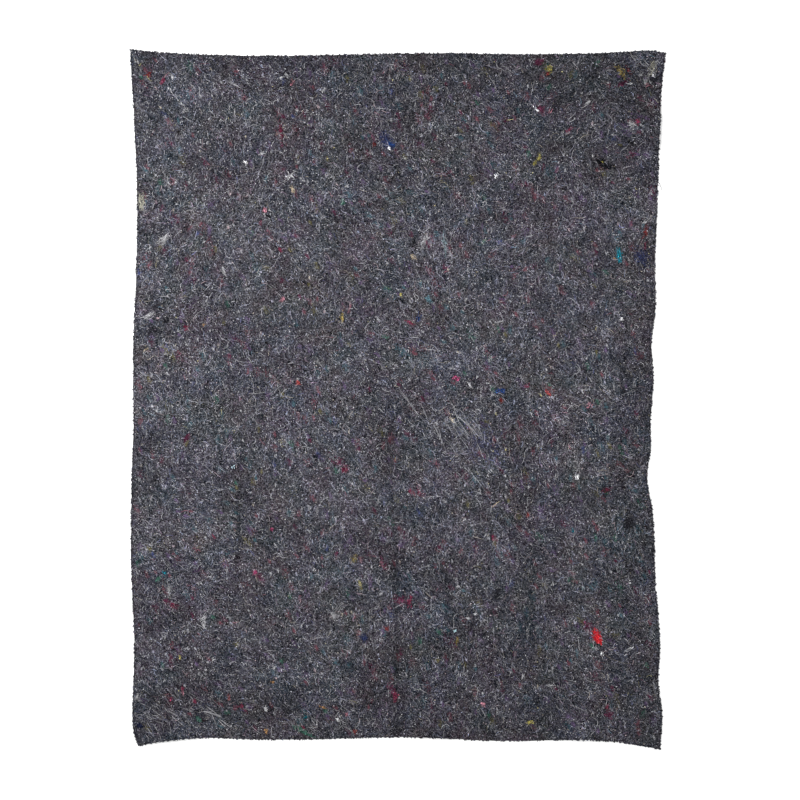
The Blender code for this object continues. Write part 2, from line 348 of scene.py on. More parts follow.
# The scraps that stand out most, each a tuft of short fibres: where it is in the photograph's pixels, its
# colour, its size in millimetres, its turn in degrees from the right, how closely its fibres lie, where 1
# just covers the felt below, and its brightness
Fleck = namedtuple("Fleck", "px py hue length width turn cover level")
FLECKS = [Fleck(*row) for row in (
    (597, 636, "red", 37, 20, 114, 3.0, 0.8), (587, 626, "wine", 40, 30, 120, 0.6, 1.1),
    (255, 572, "magenta", 14, 11, 70, 1.6, 0.95), (259, 576, "wine", 26, 20, 150, 1.0, 1.0),
    (401, 600, "wine", 44, 26, 170, 0.7, 1.2), (410, 601, "crimson", 38, 14, 80, 0.9, 0.8),
    (345, 469, "crimson", 24, 18, 60, 1.2, 0.75), (339, 462, "wine", 50, 24, 145, 0.4, 1.3),
    (395, 696, "crimson", 26, 13, 95, 1.2, 0.85), (391, 688, "wine", 44, 22, 110, 0.5, 1.1),
    (456, 378, "magenta", 22, 11, 175, 1.0, 0.7), (149, 75, "rust", 16, 15, 100, 1.1, 0.36),
    (163, 81, "crimson", 19, 9, 70, 1.8, 1.0), (293, 83, "pink", 17, 11, 70, 0.9, 0.35),
    (374, 145, "rust", 13, 11, 110, 1.0, 0.28), (373, 137, "wine", 26, 12, 120, 0.7, 1.0),
    (186, 328, "crimson", 16, 14, 60, 1.3, 0.95), (298, 383, "rust", 15, 12, 120, 1.2, 0.75),
    (501, 401, "rust", 15, 12, 110, 1.2, 0.4), (548, 393, "rust", 24, 10, 128, 0.9, 0.75),
    (527, 386, "magenta", 15, 13, 60, 0.6, 0.45), (387, 628, "rust", 15, 12, 0, 1.4, 0.45),
    (174, 606, "crimson", 24, 15, 150, 1.1, 0.5), (167, 601, "wine", 24, 12, 160, 1.2, 1.0),
    (183, 688, "crimson", 20, 8, 95, 1.0, 0.9), (171, 699, "crimson", 14, 10, 60, 0.5, 0.8),
    (229, 697, "rust", 20, 8, 100, 0.7, 0.4), (235, 708, "crimson", 14, 12, 60, 1.0, 0.6),
    (241, 706, "crimson", 15, 11, 20, 0.9, 0.7), (272, 529, "magenta", 12, 9, 60, 1.3, 0.45),
    (214, 537, "crimson", 15, 7, 140, 0.9, 0.6), (187, 438, "wine", 30, 14, 60, 2.0, 0.8),
    (606, 490, "crimson", 28, 12, 15, 0.8, 0.65), (493, 537, "crimson", 14, 11, 120, 0.9, 0.85),
    (528, 515, "rust", 14, 12, 100, 1.4, 0.4), (355, 731, "rust", 14, 12, 130, 1.4, 0.38),
    (303, 727, "crimson", 22, 8, 125, 0.8, 0.6), (410, 323, "crimson", 25, 10, 150, 0.9, 0.9),
    (645, 232, "rust", 36, 15, 95, 0.7, 0.32), (645, 246, "crimson", 22, 9, 85, 0.5, 0.7),
    (637, 122, "crimson", 16, 14, 40, 1.1, 0.85), (607, 706, "crimson", 14, 11, 60, 1.4, 0.6),
    (609, 714, "wine", 28, 20, 130, 1.1, 1.1), (283, 299, "pink", 14, 10, 60, 0.9, 0.6),
    (281, 131, "crimson", 58, 16, 98, 0.6, 0.5), (283, 117, "wine", 18, 13, 110, 1.3, 0.7),
    (541, 110, "wine", 34, 22, 100, 0.8, 1.0), (632, 154, "wine", 38, 20, 40, 0.3, 1.1),
    (539, 62, "wine", 30, 20, 20, 1.3, 0.8), (622, 84, "wine", 44, 16, 25, 0.8, 0.6),
    (265, 210, "pink", 15, 12, 120, 0.9, 0.85), (261, 223, "crimson", 13, 9, 60, 0.8, 0.75),
    (347, 714, "pink", 12, 9, 150, 1.1, 0.65), (549, 69, "yellow", 22, 17, 80, 1.2, 0.55),
    (547, 74, "rust", 15, 8, 10, 1.2, 0.35), (621, 72, "ochre", 38, 18, 128, 0.8, 0.75),
    (628, 70, "rust", 28, 10, 125, 0.6, 0.2), (539, 158, "yellow", 15, 11, 60, 1.1, 0.85),
    (535, 163, "yellow", 18, 11, 60, 1.0, 0.6), (342, 318, "ochre", 26, 11, 85, 0.9, 1.4),
    (355, 558, "ochre", 24, 16, 60, 0.6, 0.9), (360, 583, "olive", 20, 10, 100, 0.9, 2.4),
    (401, 295, "yellow", 14, 9, 110, 1.0, 0.65), (530, 722, "yellow", 20, 9, 5, 1.4, 0.9),
    (180, 657, "yellow", 11, 6, 100, 1.0, 0.75), (457, 641, "ochre", 24, 14, 90, 0.8, 0.8),
    (266, 731, "amber", 13, 9, 60, 1.1, 0.65), (273, 682, "amber", 9, 8, 90, 1.0, 0.65),
    (204, 325, "amber", 13, 8, 20, 0.7, 0.6), (323, 707, "amber", 26, 9, 160, 0.4, 0.5),
    (147, 349, "sand", 14, 9, 60, 0.6, 0.6), (614, 259, "amber", 6, 5, 60, 1.2, 0.7),
    (602, 162, "yellow", 8, 3, 160, 3.0, 0.9), (390, 144, "blue", 27, 15, 150, 1.6, 0.55),
    (386, 141, "midnight", 60, 36, 120, 0.8, 1.0), (619, 256, "teal", 40, 15, 98, 1.4, 0.95),
    (641, 257, "midnight", 60, 50, 100, 0.55, 0.85), (500, 391, "blue", 34, 13, 5, 0.7, 0.6),
    (364, 637, "ink", 24, 18, 120, 1.8, 0.6), (480, 442, "navy", 190, 110, 127, 0.12, 1.2),
    (139, 272, "ink", 20, 10, 80, 0.8, 1.3), (139, 725, "midnight", 24, 12, 152, 3.2, 0.45),
    (197, 570, "violet", 30, 9, 35, 1.8, 0.35), (158, 579, "bottle", 22, 12, 40, 0.9, 1.4),
    (165, 573, "teal", 16, 10, 60, 0.6, 0.65), (573, 531, "teal", 16, 6, 95, 1.2, 0.45),
    (306, 717, "teal", 15, 12, 20, 1.1, 0.35), (419, 318, "blue", 22, 16, 60, 0.5, 0.4),
    (429, 300, "peacock", 26, 16, 120, 0.8, 1.8), (343, 203, "bottle", 16, 13, 60, 1.3, 1.1),
    (336, 471, "bottle", 16, 12, 120, 0.8, 1.2), (199, 719, "bottle", 22, 12, 145, 0.6, 1.3),
    (303, 731, "bottle", 70, 12, 152, 0.7, 1.1), (601, 161, "black", 20, 15, 0, 4.0, 0.5),
    (606, 166, "black", 40, 20, 170, 1.8, 0.8), (154, 331, "black", 32, 20, 20, 1.4, 1.6),
    (167, 320, "black", 24, 16, 60, 1.8, 1.3), (284, 82, "midnight", 20, 12, 100, 0.9, 1.0),
    (285, 705, "black", 42, 20, 110, 1.1, 1.4), (560, 100, "black", 70, 40, 60, 0.35, 1.2),
    (628, 520, "black", 60, 26, 90, 1.1, 1.5), (497, 592, "black", 28, 20, 60, 1.1, 1.5),
    (654, 79, "black", 28, 15, 10, 1.5, 1.3),
)]
FLECK_FIBRE = Kind("flecks", None, 1, (0.003, 0.008), (0.0011, 0.002), 0.0, 0.6, 0.0011, 0.8, 0.6, None)
# The area of an oval and of a lozenge, as a share of length by width, and the fewest fibres in a scrap
OVAL = 0.785
LOZENGE = 0.5
FEWEST_FIBRES = 2

# Tufts of hair, likewise, of the hue "chalk" where none is given: curl is how far a hair turns along its
# length
Tuft = namedtuple("Tuft", "px py length width turn hairs curl level hue", defaults=["chalk"])
TUFTS = [Tuft(*row) for row in (
    (290, 176, 34, 9, 42, 16, 0.4, 0.8), (293, 177, 26, 7, 130, 10, 0.4, 0.8),
    (303, 180, 22, 9, 140, 10, 2.5, 0.65), (293, 190, 22, 10, 100, 24, 2.0, 0.95, "sand"),
    (166, 237, 30, 13, 50, 36, 0.5, 0.75), (162, 241, 34, 20, 30, 26, 0.4, 0.6),
    (224, 272, 26, 9, 112, 22, 0.6, 0.6), (245, 163, 14, 8, 140, 15, 1.0, 1.4),
    (281, 78, 17, 9, 25, 15, 1.0, 1.0), (287, 76, 14, 8, 130, 10, 1.0, 0.85),
    (323, 91, 16, 10, 60, 11, 1.0, 0.8), (141, 202, 42, 22, 95, 80, 2.0, 0.72, "khaki"),
    (150, 315, 30, 8, 24, 24, 0.3, 0.85), (496, 176, 13, 10, 150, 18, 2.5, 1.6),
    (621, 319, 11, 9, 20, 11, 1.0, 1.8), (577, 477, 16, 12, 110, 24, 1.5, 1.6),
    (204, 617, 26, 13, 60, 20, 1.2, 0.9), (204, 625, 24, 11, 100, 18, 1.2, 0.85),
    (334, 616, 28, 14, 130, 30, 0.8, 0.58), (340, 608, 44, 26, 45, 10, 0.4, 0.55),
    (318, 362, 34, 8, 108, 12, 0.5, 0.35), (469, 384, 24, 6, 120, 12, 0.4, 0.95),
    (445, 246, 56, 7, 95, 15, 0.3, 0.5, "sky"), (413, 257, 19, 12, 150, 22, 2.0, 0.9, "sand"),
    (424, 240, 48, 26, 60, 28, 1.5, 0.6), (337, 719, 15, 7, 130, 14, 0.6, 1.8),
    (137, 697, 28, 18, 60, 30, 1.0, 0.45), (601, 653, 16, 12, 60, 17, 3.5, 1.3),
    (628, 650, 26, 10, 40, 12, 0.6, 0.8), (631, 124, 28, 15, 160, 24, 2.5, 0.65),
    (586, 105, 26, 10, 50, 14, 1.2, 0.85), (537, 110, 18, 7, 140, 14, 0.8, 1.3),
    (550, 112, 22, 10, 50, 9, 0.8, 0.9, "pink"), (523, 676, 14, 10, 60, 12, 2.0, 1.25),
    (551, 685, 20, 7, 10, 10, 1.0, 0.8), (468, 618, 17, 10, 170, 16, 2.0, 0.9),
    (475, 614, 9, 7, 20, 8, 1.0, 1.2), (169, 589, 34, 13, 95, 28, 0.8, 0.4),
    (389, 148, 11, 5, 125, 14, 0.2, 1.8), (452, 419, 20, 9, 125, 12, 0.8, 0.9, "sand"),
    (447, 412, 44, 9, 125, 5, 0.4, 0.28, "pink"), (589, 405, 18, 15, 60, 12, 0.4, 0.95, "pink"),
    (350, 306, 34, 11, 75, 11, 1.0, 0.5, "pink"), (283, 300, 20, 18, 60, 12, 1.5, 0.8, "pink"),
    (483, 704, 16, 10, 150, 20, 2.0, 1.3, "pink"), (183, 692, 24, 5, 100, 7, 0.4, 0.7, "pink"),
    (234, 467, 11, 10, 60, 9, 1.0, 1.2, "sky"), (455, 631, 9, 7, 60, 10, 1.0, 2.0, "sky"),
    (657, 63, 17, 13, 70, 16, 1.5, 0.65), (652, 68, 46, 20, 80, 30, 1.5, 0.5, "khaki"),
    (653, 74, 18, 12, 100, 16, 1.5, 0.85), (646, 80, 40, 8, 70, 14, 0.8, 0.6),
    (638, 60, 56, 22, 150, 14, 2.0, 0.4), (640, 75, 16, 13, 60, 11, 2.0, 0.55),
    (648, 86, 24, 18, 20, 9, 0.6, 0.6, "pink"), (631, 84, 24, 5, 5, 7, 0.5, 0.7),
    (152, 718, 80, 70, 147, 18, 0.1, 2.5, "white"), (180, 715, 80, 60, 149, 15, 0.1, 2.5, "white"),
    (212, 712, 80, 46, 146, 22, 0.1, 2.6, "white"), (345, 720, 90, 36, 130, 10, 0.3, 2.2, "white"),
    (310, 722, 90, 36, 140, 12, 0.3, 2.2, "white"), (460, 430, 150, 110, 127, 36, 0.2, 2.3, "white"),
    (214, 659, 14, 10, 20, 13, 2.5, 0.8), (274, 668, 16, 10, 30, 14, 2.5, 0.7),
    (266, 709, 18, 9, 100, 14, 1.0, 0.85), (262, 154, 18, 10, 20, 18, 1.5, 0.9),
    (297, 110, 10, 7, 150, 8, 1.0, 1.0), (281, 153, 8, 7, 0, 7, 1.0, 5.0, "white"),
    (186, 109, 24, 14, 130, 15, 2.0, 0.45), (477, 377, 12, 8, 60, 9, 1.0, 0.8),
    (453, 420, 26, 7, 130, 12, 0.4, 0.7), (444, 452, 14, 9, 40, 8, 1.5, 0.65),
    (553, 584, 12, 8, 90, 10, 1.0, 0.65), (582, 588, 10, 5, 95, 6, 0.6, 0.8, "sky"),
    (630, 583, 5, 4, 0, 4, 1.0, 1.2), (593, 156, 12, 6, 130, 8, 0.8, 0.8),
    (529, 487, 10, 8, 100, 10, 1.0, 1.1), (645, 221, 16, 9, 30, 12, 2.5, 0.9),
)]
TUFT_HAIR = Kind("tufts", None, 4, (0.25, 0.5), (0.0005, 0.001), None, 0.35, 0.0009, 1.0, 0.35, None)
SHORTEST_HAIR = 0.004

# The longest strands, each from its first end to its second in the photograph's pixels, with the number of
# hairs that run side by side in it, how far its middle bows out to the left of the way there in
# millimetres, its brightness, and its hue where that isn't "white"
Strand = namedtuple("Strand", "px0 py0 px1 py1 hairs bow level hue", defaults=["white"])
STRANDS = [Strand(*row) for row in (
    (402, 393, 423, 421, 3, 0, 3.2), (417, 396, 428, 420, 3, 0, 3.2),
    (425, 408, 445, 449, 3, 2, 3.4), (448, 408, 485, 441, 5, 2, 3.2),
    (470, 422, 484, 439, 3, 0, 3.2), (466, 464, 489, 499, 3, 0, 3.0),
    (408, 462, 417, 478, 2, 0, 3.6), (500, 477, 520, 489, 2, 0, 3.0),
    (394, 489, 405, 499, 2, 0, 3.6), (488, 492, 510, 520, 2, 0, 2.6),
    (198, 457, 218, 478, 3, 0, 3.4), (603, 654, 632, 663, 2, -5, 2.4, "cream"),
    (420, 262, 428, 232, 3, 3, 3.0), (256, 178, 268, 150, 3, 0, 3.2),
    (150, 214, 158, 196, 3, 0, 3.4), (229, 82, 243, 90, 3, 0, 3.6),
    (560, 700, 590, 712, 2, 0, 3.4), (352, 455, 366, 476, 2, 0, 3.6),
    (187, 325, 205, 307, 3, 1, 3.4), (490, 312, 495, 323, 3, -1, 0.9, "chalk"),
    (495, 323, 503, 321, 4, -1, 1.1, "chalk"), (421, 348, 439, 348, 3, -5, 0.6, "chalk"),
    (252, 380, 254, 391, 3, 1, 0.7, "chalk"), (248, 393, 263, 392, 2, -2, 0.5, "chalk"),
    (160, 87, 168, 74, 2, 4, 0.8, "pink"), (637, 259, 642, 270, 2, 2, 2.8),
    (447, 620, 455, 631, 2, 0, 3.2), (656, 179, 661, 189, 3, 1, 2.0, "black"),
)]
STRAND_STEPS = 8
STRAND_WIDTH = (0.0004, 0.0007)
STRAND_LIFT = 0.0009
STRAND_CHANGE = 0.35
# Where along a strand a hair starts and ends, and how far each end then runs on
HAIR_SHARES = (-0.05, 1.05)
HAIR_OVERRUN = 0.1
# How far hairs lie to either side of their strand, how far they wave there, and the ranges of the radians
# at which the wave starts and through which it runs
HAIR_ASIDE = 0.0011
HAIR_WAVE = 0.001
WAVE_START = (0, 6.3)
WAVE_RADIANS = (3, 9)

# Short ends that stand out of the cut edges in clumps, so many in each, within this distance of its middle
EDGE_CLUMPS = 1100
EDGE_EACH = 5
EDGE_SPREAD = 0.0008
# The short ends are dark in part as painted shade of the cut edge.
EDGE = Kind("edge", None, 2, (0.002, 0.006), (0.001, 0.0018), 1.5, None, None, 0.48, 0.8, GROUND_HUES)
# How high on the edge a short end lies, as a share of the thickness, and how that and its brightness change
EDGE_DEPTH = (0.1, 0.9)
EDGE_DEPTH_CHANGE = 0.08
EDGE_CHANGE = 0.3
# How dark the felt is at its cut edge, how far in that reaches, and the angle from which an edge is sharp
RIM_SHADE = 0.68
RIM_REACH = 0.002
RIM_ANGLE = 40


def draws(number):
    """A source of random draws with a number of its own."""
    return np.random.default_rng(SEED + number)


def fade(share):
    """1 where the share is 0, and smoothly less up to 0 where it is 1 or more."""
    return np.cos(0.5 * np.pi * np.clip(share, 0, 1)) ** 2


def smooth_curve(at, points):
    """The height, at each of the given places, of a smooth curve through the points."""
    along, out = np.array(points).T
    slope = np.gradient(out, along)
    left = np.clip(np.searchsorted(along, at) - 1, 0, len(along) - 2)
    step = along[left + 1] - along[left]
    t = (at - along[left]) / step
    ends = (1 + 2 * t) * (1 - t) ** 2 * out[left] + t**2 * (3 - 2 * t) * out[left + 1]
    slopes = t * (1 - t) ** 2 * slope[left] + t**2 * (t - 1) * slope[left + 1]
    return ends + step * slopes


def mix(start, end, share):
    """The points that divide a line from start to end in the given shares."""
    start, end, share = np.asarray(start), np.asarray(end), np.asarray(share)
    return start + (end - start) * share[..., None]


def stations(first, last, points, sign, axis):
    """A side's points with its corners: along the axis (0 across, 1 up), and out towards the sign."""
    return [(first[axis], sign * first[1 - axis]), *points, (last[axis], sign * last[1 - axis])]


LEFT = stations(NEAR_LEFT, FAR_LEFT, LEFT_SIDE, -1, 1)
RIGHT = stations(NEAR_RIGHT, FAR_RIGHT, RIGHT_SIDE, 1, 1)
NEAR = stations(NEAR_LEFT, NEAR_RIGHT, NEAR_SIDE, -1, 0)
FAR = stations(FAR_LEFT, FAR_RIGHT, FAR_SIDE, 1, 0)


def side(points, sign, axis, share):
    """The spots at these shares of a side's length."""
    at = points[0][0] + (points[-1][0] - points[0][0]) * share
    spot = [at, sign * smooth_curve(at, points)]
    return np.stack(spot[::-1] if axis else spot, axis=-1)


def place_in_outline(across, up):
    """Where the points at these shares of the sheet's width and length lie, inside its four curved sides."""
    between_uprights = mix(side(LEFT, -1, 1, up), side(RIGHT, 1, 1, up), across)
    between_levels = mix(side(NEAR, -1, 0, across), side(FAR, 1, 0, across), up)
    between_corners = mix(mix(NEAR_LEFT, FAR_LEFT, up), mix(NEAR_RIGHT, FAR_RIGHT, up), across)
    return between_uprights + between_levels - between_corners - SHEET_MIDDLE


def edge_room(spot):
    """How far each spot is inside the nearest side of the sheet, or below zero where it is outside."""
    x, y = (spot + SHEET_MIDDLE).T
    aside = np.minimum(x + smooth_curve(y, LEFT), smooth_curve(y, RIGHT) - x)
    along = np.minimum(y + smooth_curve(x, NEAR), smooth_curve(x, FAR) - y)
    return np.minimum(aside, along)


def rim_shade(room):
    """How dark the felt is at this distance from its cut edge, where it is in its own shade."""
    return RIM_SHADE + (1 - RIM_SHADE) * np.clip(room / RIM_REACH, 0, 1)


def nearness(spot, line):
    """How near each spot is to a fold or line: 1 at its middle, and 0 at its reach, its ends and beyond."""
    start, end = np.array(line.start), np.array(line.end)
    run = end - start
    share = np.clip((spot - start) @ run / (run @ run), 0, 1)
    aside = np.linalg.norm(spot - start - share[:, None] * run, axis=1)
    return fade(aside / line.reach) * np.sin(np.pi * share) ** 0.5


def underside_height(spot):
    """How far the underside of the felt is above the floor at each spot."""
    swells = sum(fold.height * nearness(spot, fold) for fold in SWELLS)
    creases = sum(fold.height * nearness(spot, fold) for fold in CREASES)
    return np.maximum(swells - creases, 0.0)


def uneven(spot, cell, seed):
    """A smooth random surface from -1 to 1, whose lumps are as wide as a cell."""
    count = int(np.ceil(SQUARE_WIDTH / cell)) + 2
    values = draws(seed).uniform(-1, 1, (count, count))
    at = (spot + SQUARE_CORNER) / cell
    x, y = at.astype(int).T
    s, t = ((at % 1) ** 2 * (3 - 2 * (at % 1))).T
    near = values[x, y] * (1 - s) + values[x + 1, y] * s
    far = values[x, y + 1] * (1 - s) + values[x + 1, y + 1] * s
    return near * (1 - t) + far * t


def layered(spot, layers):
    """The sum of these random surfaces at each spot."""
    return sum(layer.depth * uneven(spot, layer.cell, layer.seed) for layer in layers)


def top_height(spot):
    """How high the felt's upper face is at each spot, with the lumps of its uneven batt."""
    return underside_height(spot) + THICKNESS + layered(spot, BATT_LUMPS)


def tone_and_shade(spot):
    """How bright the felt is painted at each spot, where 1 is the felt's mean: the mix of fibre, with painted
    shade and light along the folds and across the sheet.
    """
    total = np.ones(len(spot))
    for patch in MIX_AND_SHADE_PATCHES:
        reach = np.hypot((spot[:, 0] - patch.x) / patch.reach_x, (spot[:, 1] - patch.y) / patch.reach_y)
        total *= 1 + (patch.gain - 1) * fade(reach)
    for layer in MOTTLE:
        total *= 1 + layered(spot, [layer])
    for line in WEAR_AND_SHADE_LINES:
        total *= 1 + (line.gain - 1) * nearness(spot, line)
    return total


def tint(spot):
    """How warm and how blue the mix of fibre is, both against green, at each spot: from about -1 to 1."""
    return np.column_stack([layered(spot, WARM_CAST), layered(spot, BLUE_CAST)])


def in_metres(px, py):
    """The spot on the sheet that shows at a place in the photograph."""
    return np.array([px - PHOTO_MIDDLE[0], PHOTO_MIDDLE[1] - py]) * PHOTO_PIXEL


def grain(spot):
    """The direction in which the needles and the card have combed the fibre at each spot."""
    turn = np.radians(GRAIN_TURN) + layered(spot, GRAIN_SWAY)
    for combing in COMBINGS:
        distance = np.linalg.norm(spot - in_metres(combing.px, combing.py), axis=1)
        turn += fade(distance / combing.reach) * np.radians(combing.turn - GRAIN_TURN)
    return turn


class Shader:
    """A node material that is built up by its methods, with a Principled shader at its end."""

    def __init__(self, name):
        self.material = bpy.data.materials.new(name)
        self.material.use_nodes = True
        self.tree = self.material.node_tree

    def feed(self, node, values):
        """Gives a node's inputs, by name or number, plain values or the outputs of other nodes."""
        for key, value in values.items():
            if isinstance(value, bpy.types.NodeSocket):
                self.tree.links.new(value, node.inputs[key])
            elif value is not None:
                node.inputs[key].default_value = value

    def node(self, kind, *values, **settings):
        """Adds a node, and feeds its first inputs with the values."""
        node = self.tree.nodes.new(kind)
        for name, setting in settings.items():
            setattr(node, name, setting)
        self.feed(node, dict(enumerate(values)))
        return node

    def math(self, operation, *values):
        return self.node("ShaderNodeMath", *values, operation=operation).outputs[0]

    def noise(self, scale, detail=0.0, roughness=0.5, distortion=0.0):
        node = self.node("ShaderNodeTexNoise", self.node("ShaderNodeTexCoord").outputs["Object"])
        self.feed(node, {"Scale": scale, "Detail": detail, "Roughness": roughness, "Distortion": distortion})
        return node.outputs["Fac"]

    def ranged(self, value, old, new):
        return self.node("ShaderNodeMapRange", value, *old, *new).outputs[0]

    def attribute(self, name, output):
        return self.node("ShaderNodeAttribute", attribute_name=name).outputs[output]

    def scaled(self, colour, value):
        return self.node("ShaderNodeVectorMath", colour, None, None, value, operation="SCALE").outputs[0]

    def surface(self, values):
        """The finished material, with these inputs of its surface. It has no shine."""
        self.feed(self.tree.nodes["Principled BSDF"], {"Specular IOR Level": 0.0, **values})
        return self.material


def felt_material():
    """The ground of the felt: matted fibre too fine and deep to be modelled one by one."""
    felt = Shader("felt ground")
    # The sheet's tone carries painted shade and light along the folds, across the sheet and at the rim.
    value = felt.attribute("tone_and_shade", "Fac")
    for wave in GROUND_WAVES:
        shade = felt.noise(wave.scale, detail=1.0, distortion=0.8)
        gain = felt.ranged(shade, WAVE_RANGE, (wave.low, wave.high))
        value = felt.math("MULTIPLY", value, felt.math("MAXIMUM", gain, DARKEST_GAIN))
    mix_of = felt.node("ShaderNodeSeparateXYZ", felt.attribute("tint", "Vector"))
    red = felt.math("MULTIPLY_ADD", mix_of.outputs["X"], WARM_TURN, 1.0)
    blue = felt.math("MULTIPLY_ADD", mix_of.outputs["Y"], BLUE_TURN, 1.0)
    cast = felt.node("ShaderNodeCombineXYZ", red, 1.0, blue).outputs[0]
    ground = felt.node("ShaderNodeVectorMath", cast, HUES["ash"], operation="MULTIPLY").outputs[0]
    colour = felt.scaled(ground, felt.math("MULTIPLY", value, GROUND_LEVEL))
    roughness = felt.ranged(felt.noise(ROUGHNESS_SCALE), GRAIN_RANGE, GROUND_ROUGHNESS)
    relief = felt.noise(RELIEF_SCALE, detail=4.0, roughness=0.65, distortion=1.5)
    bump = felt.node("ShaderNodeBump")
    felt.feed(bump, {"Height": relief, "Strength": RELIEF_STRENGTH, "Distance": RELIEF_DEPTH})
    return felt.surface({"Base Color": colour, "Roughness": roughness, "Normal": bump.outputs[0]})


def fibre_material():
    """Loose fibre: each takes its colour from the mesh, a little uneven along its length."""
    fibre = Shader("felt fibre")
    gain = fibre.ranged(fibre.noise(FIBRE_SCALE), GRAIN_RANGE, FIBRE_GAIN)
    colour = fibre.scaled(fibre.attribute("fibre_colour", "Color"), gain)
    return fibre.surface({"Base Color": colour, "Roughness": FIBRE_ROUGHNESS})


def in_scene(name, data):
    """A new object of the scene, which shows this mesh, light or camera."""
    thing = bpy.data.objects.new(name, data)
    bpy.context.scene.collection.objects.link(thing)
    return thing


def mesh_of(name, points, quads):
    """A mesh object with these points and four-sided faces."""
    mesh = bpy.data.meshes.new(name)
    mesh.vertices.add(len(points))
    mesh.vertices.foreach_set("co", np.asarray(points, np.float32).ravel())
    mesh.loops.add(quads.size)
    mesh.loops.foreach_set("vertex_index", np.asarray(quads, np.int32).ravel())
    mesh.polygons.add(len(quads))
    mesh.polygons.foreach_set("loop_start", np.arange(0, quads.size, 4, dtype=np.int32))
    mesh.update(calc_edges=True)
    return in_scene(name, mesh)


def give(mesh, name, kind, part, values):
    """Gives each point or face of a mesh its own value, under this name."""
    attribute = mesh.attributes.new(name, kind, part)
    key = "value" if kind == "FLOAT" else "vector"
    attribute.data.foreach_set(key, values.astype(np.float32).ravel())


def give_map(mesh, places):
    """Gives each corner of each face its place in the colour map."""
    mesh.uv_layers.new(name="OFBake").uv.foreach_set("vector", places.astype(np.float32).ravel())


def grid_quads(columns, rows, first=0):
    """The faces of a grid of points that are numbered row by row."""
    corner = first + np.arange(rows)[:, None] * (columns + 1) + np.arange(columns)[None, :]
    corner = corner.ravel()
    return np.column_stack([corner, corner + 1, corner + columns + 2, corner + columns + 1])


def felt_sheet():
    """The sheet itself, closed all round: an upper and a lower face that meet in a soft, ragged rim."""
    columns, rows = SHEET_COLUMNS, SHEET_ROWS
    across = np.tile(np.linspace(0, 1, columns + 1), rows + 1)
    up = np.repeat(np.linspace(0, 1, rows + 1), columns + 1)
    spot = place_in_outline(across, up)
    rim = (across == 0) | (across == 1) | (up == 0) | (up == 1)
    # The felt's tone, with painted shade and light along the folds, across the sheet and at the rim
    value = tone_and_shade(spot) * rim_shade(edge_room(spot))
    spot[rim] += layered(spot, RIM_WOBBLE)[rim, None]
    top = np.column_stack([spot, top_height(spot)])
    top[rim, 2] -= RIM_DROP
    bottom = np.column_stack([spot, underside_height(spot) + FLOOR_CLEARANCE])
    bottom[rim, 2] += RIM_DROP

    count = len(top)
    number = np.arange(count).reshape(rows + 1, columns + 1)
    loop = np.concatenate([number[0, :-1], number[:-1, -1], number[-1, :0:-1], number[:0:-1, 0]])
    after = np.roll(loop, -1)
    upper = grid_quads(columns, rows)
    lower = grid_quads(columns, rows, count)[:, ::-1]
    sides = np.column_stack([loop, loop + count, after + count, after])
    sheet = mesh_of("felt_sheet", np.vstack([top, bottom]), np.vstack([upper, lower, sides]))
    sheet.data.shade_smooth()
    sheet.data.set_sharp_from_angle(angle=np.radians(RIM_ANGLE))
    give(sheet.data, "tone_and_shade", "FLOAT", "POINT", np.tile(value, 2))
    mixed = np.column_stack([tint(spot), np.zeros(count)])
    give(sheet.data, "tint", "FLOAT_VECTOR", "POINT", np.tile(mixed, (2, 1)))
    sheet.data.materials.append(felt_material())
    lay_out_sheet(sheet, np.tile(np.column_stack([across, up]), (2, 1)), len(upper))
    return sheet


def lay_out_sheet(sheet, shares, upper_count):
    """The sheet's colour map: its upper face, which has the first faces, and the strip for all the others."""
    corners = np.empty(len(sheet.data.loops), np.int32)
    sheet.data.loops.foreach_get("vertex_index", corners)
    share = shares[corners].reshape(-1, 4, 2)
    across, up = share[:, :, 0], share[:, :, 1]
    band = np.minimum((up.mean(axis=1) * STRIP_BANDS).astype(int), STRIP_BANDS - 1)[:, None]
    along = STRIP_START + STRIP_WIDTH * (up * STRIP_BANDS - band)
    level = MAP_MARGIN + BAND_HEIGHT * (band + BAND_FILL * across)
    upper = (np.arange(len(share)) < upper_count)[:, None, None]
    give_map(sheet.data, np.where(upper, MAP_MARGIN + share * UPPER_MAP, np.stack([along, level], axis=-1)))


def fibre_paths(rng, middle, heading, length, bend, steps):
    """Points along fibres that lie flat and turn as they go, as an array of fibre, point and x or y."""
    count = len(middle)
    turn = rng.normal(0, 1, (count, 1)) + rng.normal(0, OWN_BEND, (count, steps))
    turn *= np.reshape(bend, (-1, 1)) / steps
    angle = heading[:, None] + np.cumsum(turn, axis=1) - turn.sum(axis=1, keepdims=True) / 2
    stride = (length / steps)[:, None, None] * np.stack([np.cos(angle), np.sin(angle)], axis=-1)
    path = np.concatenate([np.zeros((count, 1, 2)), np.cumsum(stride, axis=1)], axis=1)
    return path - path.mean(axis=1, keepdims=True) + middle[:, None, :]


def height_along(path, surface):
    """How high a surface is at every point of these paths."""
    return surface(path.reshape(-1, 2)).reshape(len(path), -1)


def leftwards(direction):
    """Steps of one metre to the left of these directions."""
    left = np.stack([-direction[..., 1], direction[..., 0]], axis=-1)
    return left / (np.linalg.norm(left, axis=-1, keepdims=True) + TINY)


